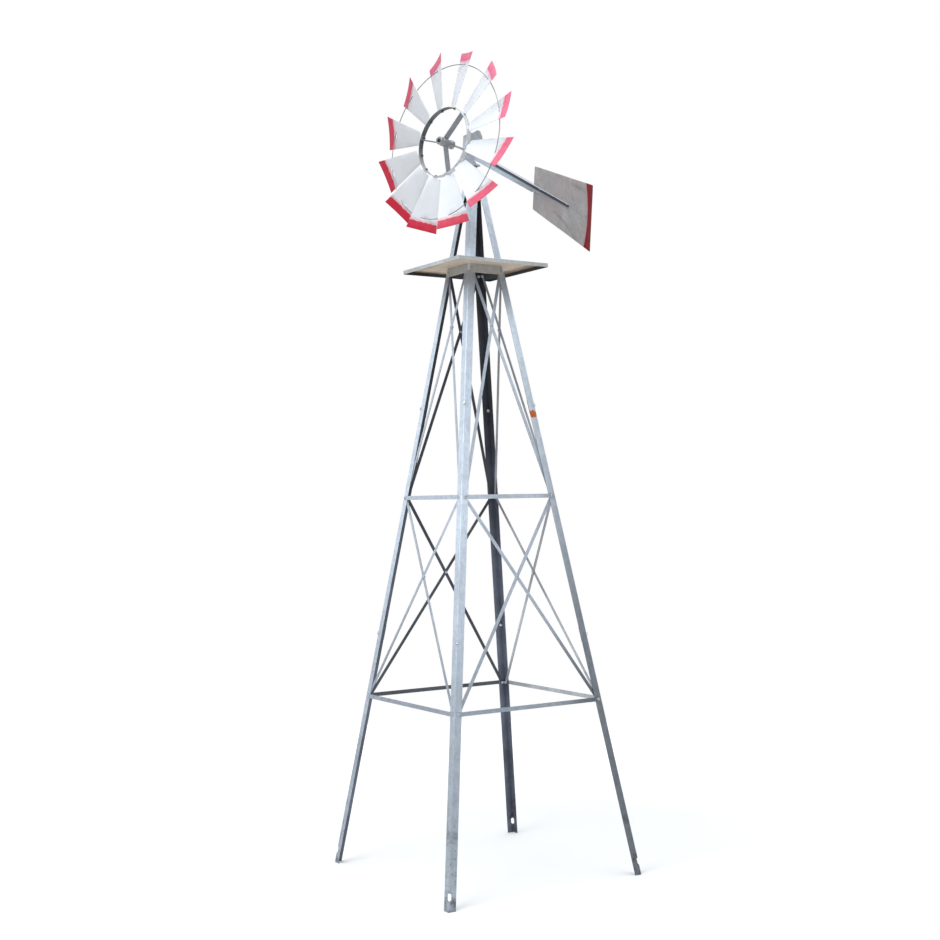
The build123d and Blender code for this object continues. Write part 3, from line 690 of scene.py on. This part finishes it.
def vane_finish():
    """Blotchy zinc sheet, a few scratches, and a dark red band with a curved front edge."""
    tone, tail = colours(), bpy.context.scene.windmill_tail
    finish = Finish("mottled_vane", metallic=0.10, specular=0.2)
    along, across = finish.attribute("along"), finish.attribute("across")
    patches, grains = finish.noise(20.0, 6.0, 0.7), finish.noise(90.0, 5.0, 0.7)
    base = finish.shade(tone.vane, patches, 0.80, 1.14)
    base = finish.shade(base, grains, 0.86, 1.10)
    warm = finish.ramp(finish.noise(6.0, 3.0), 0.4, 0.6, 0.0, 0.35)
    base = finish.mix(warm, base, (0.47, 0.40, 0.40))
    elsewhere = finish.vector("ADD", finish.point, (3, 1, 2))
    cool = finish.ramp(finish.noise(9.0, 3.0, point=elsewhere), 0.5, 0.7, 0.0, 0.4)
    base = finish.mix(cool, base, (0.36, 0.40, 0.46))
    flat = finish.node("ShaderNodeCombineXYZ", {0: along, 1: across}).outputs[0]
    wobble = finish.times(finish.noise(28.0, 2.0), 0.010)
    for centre, radius, width in (((0.662, 0.072), 0.085, 0.0014), ((0.600, 0.160), 0.085, 0.0022),
                                  ((0.450, -0.300), 0.262, 0.0012)):
        gap = finish.maths("SUBTRACT", finish.vector("DISTANCE", flat, (*centre, 0)), radius)
        line = finish.ramp(finish.maths("ABSOLUTE", finish.plus(gap, wobble)), width + 0.005, 0.005 - width)
        worn = finish.ramp(finish.noise(22.0, 2.0), 0.42, 0.56, 0.0, 0.35)
        base = finish.mix(finish.times(line, worn), base, (0.17, 0.17, 0.20))
    from_smear = finish.vector("SUBTRACT", flat, (0.632, 0.083, 0))
    smear = finish.vector("LENGTH", finish.stretch((1.0, 2.6, 1.0), from_smear))
    smear = finish.plus(smear, finish.times(finish.noise(60.0, 4.0), 0.09))
    base = finish.mix(finish.ramp(smear, 0.085, 0.045, 0.0, 0.4), base, (0.20, 0.22, 0.26))
    share = finish.maths("DIVIDE", across, tail.vane_rear_half)
    bow = finish.maths("POWER", finish.maths("ABSOLUTE", share), 2.0)
    width = finish.maths("MULTIPLY_ADD", bow, tail.band_ends)
    width.node.inputs[2].default_value = tail.band_middle
    depth = finish.plus(finish.maths("SUBTRACT", along, tail.vane_rear), width)
    ragged = finish.plus(depth, finish.times(finish.noise(150.0, 3.0), 0.002))
    base = finish.mix(finish.ramp(ragged, -0.014, 0.002, 0.0, 0.30), base, (0.50, 0.16, 0.20))
    paint = finish.ramp(ragged, -0.0005, 0.0018)
    red = finish.shade(tone.vane_red, finish.noise(55.0, 4.0), 0.82, 1.15)
    base = finish.mix(paint, base, red)
    rough = finish.mix(paint, (0.55, 0.55, 0.55), (0.42, 0.42, 0.42))
    return finish.close(base, finish.first_channel(rough), grains, depth=0.0002, strength=0.3)


def blade_finish():
    """Pale sheet with rolling marks along the blade and red sprayed over its tip."""
    tone, wheel = colours(), bpy.context.scene.windmill_wheel
    finish = Finish("pale_blade", metallic=0.12, specular=0.35)
    along, across = finish.attribute("along"), finish.attribute("across")
    flat = finish.node("ShaderNodeCombineXYZ", {0: across, 1: along}).outputs[0]
    rolled = finish.noise(1.0, 3.0, point=finish.stretch((420, 9, 1), flat))
    clouds = finish.noise(15.0, 4.0)
    base = finish.shade(tone.blade, rolled, 0.965, 1.02)
    base = finish.shade(base, clouds, 0.95, 1.03)
    scuffs = finish.noise(1.0, 4.0, 0.7, point=finish.stretch((90, 500, 1), flat))
    scuffs = finish.ramp(scuffs, 0.72, 0.80, 0.0, 0.18)
    base = finish.mix(scuffs, base, (0.55, 0.56, 0.58))
    mist = finish.times(finish.maths("SUBTRACT", finish.noise(85.0, 5.0, 0.7), 0.5), 0.012)
    spray = finish.plus(along, mist)
    full = wheel.tip_radius - wheel.paint
    halo = finish.ramp(spray, full - wheel.paint_fade, full + 0.001, 0.0, 0.45)
    paint = finish.maths("MAXIMUM", halo, finish.ramp(spray, full - 0.0025, full + 0.0015))
    # Painted highlight: the red turns pink by the share of sheen that each blade stores.
    red = finish.mix(finish.attribute("tip_sheen"), tone.blade_red, tone.blade_pink_sheen)
    red = finish.shade(red, finish.noise(60.0, 4.0), 0.88, 1.10)
    base = finish.mix(paint, base, red)
    rough = finish.ramp(rolled, 0.2, 0.8, 0.48, 0.58)
    return finish.close(base, rough, finish.noise(120.0, 2.0), depth=0.00010, strength=0.05)


def ring_finish():
    """Banded steel: pale outside, painted shade inside, with painted light where the inside faces up at rest.
    """
    tone = colours()
    finish = Finish("banded_ring", metallic=0.30)
    point, normal = finish.local(wheel_place())
    outside, clouds, crystals = galvanised(finish, tone.ring)
    # Painted light and shade inside the band: pale where it faces up at rest, dark elsewhere.
    upward_painted_light = finish.ramp(finish.vector("DOT_PRODUCT", normal, (0, 1, 0)), -0.1, 0.6, 0.0, 0.85)
    inside = finish.mix(upward_painted_light, tone.ring_inside_painted_shade, tone.ring_inside_painted_light)
    inside = finish.shade(inside, clouds, 0.8, 1.25)
    base = finish.mix(finish.facing_in(point, normal), outside, inside)
    rough = finish.ramp(crystals, 0.0, 1.0, 0.34, 0.48)
    return finish.close(base, rough, finish.noise(420.0, 3.0), strength=0.2)


def plated(name, base, metallic, rough):
    """Plated or blackened small parts: faint mottling and darker tarnish in spots the size of crevices."""
    finish = Finish(name, metallic=metallic)
    base = finish.shade(base, finish.noise(220.0, 4.0), 0.80, 1.12)
    tarnish = finish.ramp(finish.noise(90.0, 3.0), 0.50, 0.68, 0.0, 0.4)
    base = finish.mix(tarnish, base, (0.22, 0.20, 0.17) if metallic > 0.5 else (0.02, 0.02, 0.02))
    return finish.close(base, finish.ramp(tarnish, 0.0, 0.4, rough, rough + 0.15), finish.noise(900.0, 2.0),
                        depth=0.0001, strength=0.15)


# ---- sheet metal ----
def mark_positions(bm, along_axis, across_axis):
    """Store each point's own place along and across the sheet, for its finish."""
    along = bm.verts.layers.float.new("along")
    across = bm.verts.layers.float.new("across")
    for vert in bm.verts:
        vert[along], vert[across] = vert.co[along_axis], vert.co[across_axis]


def blade_mesh(wheel):
    """Tapered, slightly hollow sheet with the wire's slot and a folded tab, in the blade's own frame."""
    bm = bmesh.new()
    top = wheel.gauge / 2
    root, tip, tab = wheel.root_chord / 2, wheel.tip_chord / 2, wheel.tab_chord / 2
    inner, outer = wheel.root_radius, wheel.tip_radius
    outline = ((-root, inner), (root, inner), (tip, outer), (-tip, outer))
    bm.faces.new([bm.verts.new((x, y, top)) for x, y in outline])
    slot_low, slot_high = (wheel.wire_ring_radius + side * wheel.slot_width / 2 for side in (-1, 1))
    rows = [inner + (slot_low - inner) * step / 5 for step in range(1, 6)]
    for y in rows + [slot_high, (slot_high + outer) / 2]:
        cut(bm, (0, y, 0), (0, 1, 0))
    slot_half = wheel.slot_chord / 2
    for x in (tab, slot_half, 0.65 * tip, 0.83 * tip):
        for side in (-1, 1):
            cut(bm, (side * x, 0, 0), (1, 0, 0))
    middle = [f for f in bm.faces if abs(f.calc_center_median().x) < slot_half
              and slot_low < f.calc_center_median().y < slot_high]
    bmesh.ops.delete(bm, geom=middle, context="FACES")
    taper = (tip - root) / (outer - inner)
    for vert in bm.verts:
        out = vert.co.y - inner
        half = root + taper * out
        depth = wheel.hollow * out / (outer - inner)
        vert.co.z -= depth * (1 - (vert.co.x / half) ** 2)
    fold = [e for e in bm.edges if e.is_boundary and all(
        abs(v.co.y - inner) < WELD and abs(v.co.x) < tab + WELD for v in e.verts)]
    for move in ((0, wheel.ring_radius - wheel.root_radius, 0), (0, 0, -wheel.tab_depth)):
        fold = pull(bm, fold, move)
    bend_radius, slot_end_radius, near = 0.0012, 0.0016, 10 * WELD
    round_edges(bm, [e for e in bm.edges if e.is_manifold and e.calc_face_angle(0) > 1], bend_radius, 3)
    bmesh.ops.recalc_face_normals(bm, faces=bm.faces)
    thicken(bm, 2, wheel.gauge)

    def at_slot_end(point):
        return abs(abs(point.x) - slot_half) < near and slot_low - near < point.y < slot_high + near

    slot_corners = [e for e in bm.edges if abs(e.verts[0].co.z - e.verts[1].co.z) > 0.6 * wheel.gauge
                    and all(at_slot_end(v.co) for v in e.verts)]
    round_edges(bm, slot_corners, slot_end_radius, 4)
    soften(bm, 0.0002, SQUARE)
    mark_positions(bm, 1, 0)
    return bm


def vane_mesh(tail):
    """Tapered plate with slightly rounded corners and the faint buckle of thin sheet, in the tail frame."""
    bm = bmesh.new()
    front, rear = tail.vane_front, tail.vane_rear
    low, high = tail.vane_front_half, tail.vane_rear_half
    outline = ((front, -low), (rear, -high), (rear, high), (front, low))
    bm.faces.new([bm.verts.new((0, y, z)) for y, z in outline])
    bmesh.ops.bevel(bm, geom=bm.verts[:], offset=0.004, offset_type="OFFSET", segments=4, profile=0.5,
                    affect="VERTICES", material=-1)
    strips, buckle = 16, 0.0009
    for step in range(1, strips):
        cut(bm, (0, front + (rear - front) * step / strips, 0), (0, 1, 0))
        cut(bm, (0, 0, high * (2 * step / strips - 1)), (0, 0, 1))
    for vert in bm.verts:
        share = (vert.co.y - front) / (rear - front)
        vert.co.x = buckle * sin(2.3 * pi * share) * sin(0.9 * pi * vert.co.z / high) * abs(vert.co.z) / high
    thicken(bm, 0, tail.vane_gauge)
    soften(bm, 0.00025, SQUARE)
    mark_positions(bm, 1, 2)
    bm.transform(vane_place(tail))
    return bm


def vane_place(tail):
    """The vane's own plane in the tail frame, turned about its front edge."""
    turn = Matrix.Rotation(-tail.vane_turn, 4, "Z")
    front = Vector((0, tail.vane_front, 0))
    beside = Vector((-tail.vane_offset, 0, 0))
    return Matrix.Translation(beside + front) @ turn @ Matrix.Translation(-front)


def boom_mesh(tail):
    """Bent angle with its corner outwards, trimmed where it meets the vane, in the tail frame."""
    bm = bmesh.new()
    reach = tail.boom_flange * sqrt(0.5)
    corner = tail.boom_corner
    points = [(corner - abs(side) * reach, tail.boom_start, side * reach) for side in (-1, 0, 1)]
    section = [bm.verts.new(point) for point in points]
    edges = [bm.edges.new(pair) for pair in zip(section, section[1:])]
    pull(bm, edges, (0, tail.boom_end - tail.boom_start, 0))
    trim, step = tail.vane_front - 0.0005, 0.001
    for y in (trim - step, trim):
        cut(bm, (0, y, 0), (0, 1, 0))
    for vert in bm.verts:
        if vert.co.y > trim - step / 2 and abs(vert.co.z) > WELD:
            behind = tail.vane_offset - (vert.co.y - tail.vane_front) * tan(tail.vane_turn)
            width = corner + behind
            vert.co.x, vert.co.z = corner - width, width if vert.co.z > 0 else -width
    bend = [e for e in bm.edges if all(abs(v.co.z) < WELD for v in e.verts) and e.is_manifold]
    bend_radius = 0.0022
    round_edges(bm, bend, bend_radius, 5)
    thicken(bm, 0, tail.boom_gauge)
    soften(bm, 0.0002, SQUARE)
    mark_positions(bm, 1, 2)
    return bm


# ---- round parts ----
def hub_mesh(wheel):
    """Turned hub with a front boss, a waist behind the spokes and a seat for each bearing."""
    edge = 0.0012
    radius, back, front = wheel.hub_radius, -wheel.hub_back, wheel.hub_front
    end = front + wheel.boss_length
    seat, bore = wheel.bearing_radius, wheel.bore
    waist = radius - 1.5 * edge
    boss, depth = wheel.boss_radius, wheel.bearing_width
    profile = (
        (seat, back), (radius - edge, back), (radius, back + edge), (radius, 0.70 * back),
        (waist, 0.62 * back), (waist, 0.30 * back), (radius, 0.22 * back), (radius, front - edge),
        (radius - edge, front), (boss, front), (boss, end - edge), (boss - edge, end), (seat, end),
        (seat, end - depth), (bore, end - depth), (bore, back + depth), (seat, back + depth))
    bm = bmesh.new()
    verts = [bm.verts.new((r, 0, z)) for r, z in profile]
    edges = [bm.edges.new((a, b)) for a, b in zip(verts, verts[1:] + verts[:1])]
    turn_round(bm, verts + edges, 56)
    soften(bm, 0.0003, radians(40))
    return bm


def wire_mesh(wheel):
    """Round wire bent to a ring, with a small bead where its ends are welded."""
    bm = bmesh.new()
    place = Matrix.Translation((wheel.wire_ring_radius, 0, 0)) @ Matrix.Rotation(pi / 2, 4, "X")
    bmesh.ops.create_circle(bm, segments=12, radius=wheel.wire_radius, matrix=place)
    turn_round(bm, bm.verts[:] + bm.edges[:], 240)
    weld, bead_reach, bead_swell = wheel.start + pi / wheel.blades, 0.007, 0.4
    for vert in bm.verts:
        out = Vector((vert.co.x, vert.co.y, 0)).normalized()
        line = out * wheel.wire_ring_radius
        away = (line - Matrix.Rotation(weld, 3, "Z") @ Vector((wheel.wire_ring_radius, 0, 0))).length
        vert.co = line + (vert.co - line) * (1 + bead_swell * max(0.0, 1 - away / bead_reach))
    bmesh.ops.translate(bm, verts=bm.verts, vec=(0, 0, wheel.blade_out))
    return bm


# ---- operators ----
class WINDMILL_OT_tower(bpy.types.Operator):
    """Finish the legs, girts, braces, deck, cap and pivot"""
    bl_idname = "windmill.tower"
    bl_label = "Tower"

    def execute(self, context):
        tone = colours()
        # dark is the painted shade of faces that look towards the tower's middle.
        dark, legs = tone.steel_inside_painted_shade, nodes_like("lower_leg", "middle_leg", "upper_leg")
        finish_nodes(legs, frame_steel("leg_finish", tone.steel, None, tone.leg_inside_painted_shade, True))
        strips = nodes_like("lower_girt", "upper_girt", "lower_braces", "upper_braces")
        finish_nodes(strips, frame_steel("strip_finish", tone.strip, tone.strip_inside_painted_shade, dark, False))
        finish_nodes(["deck"], deck_finish())
        finish_nodes(["tower_cap"], plain_steel("cap_steel", tone.steel, 0.35, 0.45, (40, 40, 40)))
        finish_nodes(["pivot_post"], plain_steel("turned_steel", tone.bright, 0.85, 0.28, (20, 20, 600)))
        finish_nodes(["pivot_washers", "brace_spacers"], plated("washer_zinc", tone.zinc, 0.8, 0.32))
        return {"FINISHED"}


class WINDMILL_OT_tower_fasteners(bpy.types.Operator):
    """Model the frame's screws and nuts"""
    bl_idname = "windmill.tower_fasteners"
    bl_label = "Tower fasteners"

    def execute(self, context):
        zinc = plated("zinc_plate", colours().zinc, 0.8, 0.30)
        fastener_piece("tower_screws", "frame_bolts", "tower", zinc)
        fastener_piece("tower_nuts", "frame_nuts", "tower", zinc)
        return {"FINISHED"}


class WINDMILL_OT_head(bpy.types.Operator):
    """Finish the bracket, shaft and bush, and model the shaft's nuts"""
    bl_idname = "windmill.head"
    bl_label = "Head"

    def execute(self, context):
        tone = colours()
        finish_nodes(["head_bracket"], plain_steel("bracket_steel", tone.head, 0.40, 0.42, (60, 60, 60)))
        finish_nodes(["wheel_shaft"], plain_steel("shaft_steel", tone.head, 0.80, 0.30, (300, 20, 300)))
        finish_nodes(["pivot_bush"], plated("bush_nylon", tone.bush, 0.0, 0.5))
        black = plated("black_nut", tone.black, 0.2, 0.38)
        fastener_piece("shaft_nut_set", "shaft_nuts", "head", black)
        return {"FINISHED"}


class WINDMILL_OT_tail(bpy.types.Operator):
    """Model the boom, the vane and their screws"""
    bl_idname = "windmill.tail"
    bl_label = "Tail"

    def execute(self, context):
        tail, place = context.scene.windmill_tail, tail_place()
        for name, mesh, material, slot, replaced in (
                ("vane_plate", vane_mesh, vane_finish, "vane_sheet", "tail_vane"),
                ("boom_angle", boom_mesh, boom_finish, "boom_steel", "tail_boom")):
            bm = mesh(tail)
            bm.transform(place)
            piece(name, bm, "head", material(), replaced)
        zinc = plated("tail_zinc", colours().zinc, 0.8, 0.30)
        fastener_piece("tail_screws", "tail_bolts", "head", zinc)
        return {"FINISHED"}


class WINDMILL_OT_blades(bpy.types.Operator):
    """Model the blades"""
    bl_idname = "windmill.blades"
    bl_label = "Blades"
    # Angle round the wheel where the painted sheen on the tips is strongest.
    sheen_middle = radians(50)

    def execute(self, context):
        wheel, material = context.scene.windmill_wheel, blade_finish()
        for number in range(wheel.blades):
            bm = blade_mesh(wheel)
            self.mark_sheen(bm, wheel.start + number * 2 * pi / wheel.blades)
            bm.transform(blade_place(number))
            name = f"{number + 1:02d}"
            piece(f"blade_sheet_{name}", bm, "wheel", material, f"blade_{name}")
        return {"FINISHED"}

    def mark_sheen(self, bm, turn):
        """Store how much painted sheen turns this blade's red pink: most on the side that rests upwards."""
        tip_sheen = bm.verts.layers.float.new("tip_sheen")
        share = 0.5 + 0.5 * cos(turn - self.sheen_middle)
        for vert in bm.verts:
            vert[tip_sheen] = share


class WINDMILL_OT_hub(bpy.types.Operator):
    """Model the hub and finish its bearings and spokes"""
    bl_idname = "windmill.hub"
    bl_label = "Hub"

    def execute(self, context):
        tone = colours()
        bm = hub_mesh(context.scene.windmill_wheel)
        bm.transform(wheel_place())
        steel = plain_steel("hub_steel", tone.hub, 0.45, 0.36, (120, 120, 120))
        piece("turned_hub", bm, "wheel", steel, "hub")
        finish_nodes(["hub_bearings"], plain_steel("bearing_steel", tone.bright, 0.85, 0.22, (90, 90, 90)))
        finish_nodes(["spokes"], plain_steel("spoke_steel", tone.spoke, 0.40, 0.40, (80, 80, 80)))
        return {"FINISHED"}


class WINDMILL_OT_rings(bpy.types.Operator):
    """Finish the blade ring, and model the wire and the wheel's screws"""
    bl_idname = "windmill.rings"
    bl_label = "Rings"

    def execute(self, context):
        tone = colours()
        finish_nodes(["inner_ring"], ring_finish())
        bm = wire_mesh(context.scene.windmill_wheel)
        bm.transform(wheel_place())
        wire = plain_steel("drawn_wire", tone.wire, 0.80, 0.36, (200, 200, 200))
        piece("ring_wire", bm, "wheel", wire, "wire_ring")
        zinc = plated("wheel_zinc", tone.screw, 0.6, 0.35)
        fastener_piece("wheel_screws", "wheel_bolts", "wheel", zinc)
        return {"FINISHED"}


class WINDMILL_OT_stage(bpy.types.Operator):
    """Add the floor, the soft lights and the camera"""
    bl_idname = "windmill.stage"
    bl_label = "Stage"

    def execute(self, context):
        studio = context.scene.windmill_studio
        self.add_floor(context, studio)
        self.add_world(context, studio)
        self.add_lights(context, studio)
        self.add_camera(context, studio)
        context.scene.view_settings.view_transform = "Standard"
        return {"FINISHED"}

    def add_floor(self, context, studio):
        bm = bmesh.new()
        bmesh.ops.create_circle(bm, cap_ends=True, segments=96, radius=studio.floor_radius)
        mesh = bpy.data.meshes.new("floor")
        bm.to_mesh(mesh)
        bm.free()
        finish = Finish("pale_floor", metallic=0.0, specular=0.2)
        base = finish.shade(studio.floor, finish.noise(2.0), 0.99, 1.0)
        reach = finish.vector("LENGTH", finish.point)
        rim = studio.floor_radius
        glow = finish.ramp(reach, 0.25 * rim, 0.75 * rim, 0.0, studio.floor_glow)
        finish.shader.inputs["Emission Color"].default_value = (1, 1, 1, 1)
        finish.tree.links.new(glow, finish.shader.inputs["Emission Strength"])
        mesh.materials.append(finish.close(base, finish.ramp(finish.noise(3.0), 0.3, 0.7, 0.85, 0.9)))
        floor = bpy.data.objects.new("floor", mesh)
        context.scene.collection.objects.link(floor)

    def add_world(self, context, studio):
        """Soft light that is brighter above than below, behind a plain white background."""
        world = context.scene.world or bpy.data.worlds.new("studio")
        context.scene.world = world
        world.use_nodes = True
        world.node_tree.nodes.clear()
        made = Nodes(world.node_tree)
        way = made.node("ShaderNodeTexCoord", {}).outputs["Generated"]
        lift = made.ramp(made.node("ShaderNodeSeparateXYZ", {0: way}).outputs["Z"], -0.35, 0.30)
        blend = made.mix(lift, studio.ground, studio.sky)
        light = {"Color": blend, "Strength": studio.sky_strength}
        light = made.node("ShaderNodeBackground", light).outputs[0]
        white = made.node("ShaderNodeBackground", {"Color": (1, 1, 1, 1)}).outputs[0]
        seen = made.node("ShaderNodeLightPath", {}).outputs["Is Camera Ray"]
        choose = made.node("ShaderNodeMixShader", {0: seen, 1: light, 2: white}).outputs[0]
        made.node("ShaderNodeOutputWorld", {"Surface": choose})

    def add_lights(self, context, studio):
        aim = Vector((0, 0, 1.3))
        for name, spot, size, power, tint in (
                ("key_light", (1.2, -4.2, 4.8), 3.2, studio.key_power, (0.94, 0.98, 1.0)),
                ("top_light", (0.6, -0.4, 5.4), 6.0, studio.top_power, (0.96, 0.98, 1.0))):
            lamp = bpy.data.lights.new(name, "AREA")
            lamp.energy = power
            lamp.size = size
            lamp.color = tint
            held = bpy.data.objects.new(name, lamp)
            held.location = spot
            held.rotation_euler = (aim - Vector(spot)).to_track_quat("-Z", "Y").to_euler()
            context.scene.collection.objects.link(held)

    def add_camera(self, context, studio):
        spot = Matrix.Rotation(studio.azimuth, 4, "Z") @ Vector((0, -studio.distance, studio.height))
        lens = bpy.data.cameras.new("studio_camera")
        lens.sensor_width = 36
        lens.lens = studio.lens
        camera = bpy.data.objects.new("studio_camera", lens)
        context.scene.collection.objects.link(camera)
        camera.matrix_world = (
            Matrix.Translation(spot) @ Matrix.Rotation(studio.heading, 4, "Z")
            @ Matrix.Rotation(pi / 2 + studio.rise, 4, "X") @ Matrix.Rotation(studio.roll, 4, "Z"))
        context.scene.camera = camera


STEPS = (
    WINDMILL_OT_tower, WINDMILL_OT_tower_fasteners, WINDMILL_OT_head, WINDMILL_OT_tail, WINDMILL_OT_blades,
    WINDMILL_OT_hub, WINDMILL_OT_rings, WINDMILL_OT_stage)
GROUPS = {
    "windmill_colours": WindmillColours,
    "windmill_wheel": WindmillWheel,
    "windmill_tail": WindmillTail,
    "windmill_studio": WindmillStudio,
}


class WINDMILL_PT_panel(bpy.types.Panel):
    """Steps that dress the windmill"""
    bl_idname = "WINDMILL_PT_panel"
    bl_label = "Garden Windmill"
    bl_space_type = "VIEW_3D"
    bl_region_type = "UI"
    bl_category = "Windmill"

    def draw(self, context):
        for step in STEPS:
            self.layout.operator(step.bl_idname)


def register():
    for group_name, group in GROUPS.items():
        bpy.utils.register_class(group)
        setattr(bpy.types.Scene, group_name, PointerProperty(type=group))
    for made in (*STEPS, WINDMILL_PT_panel):
        bpy.utils.register_class(made)


def unregister():
    for made in (WINDMILL_PT_panel, *reversed(STEPS)):
        bpy.utils.unregister_class(made)
    for group_name, group in reversed(GROUPS.items()):
        delattr(bpy.types.Scene, group_name)
        bpy.utils.unregister_class(group)


def main():
    register()
    bpy.ops.windmill.stage()
    bpy.ops.windmill.tower()
    bpy.ops.windmill.tower_fasteners()
    bpy.ops.windmill.head()
    bpy.ops.windmill.tail()
    bpy.ops.windmill.blades()
    bpy.ops.windmill.hub()
    bpy.ops.windmill.rings()


if __name__ == "__main__":
    main()
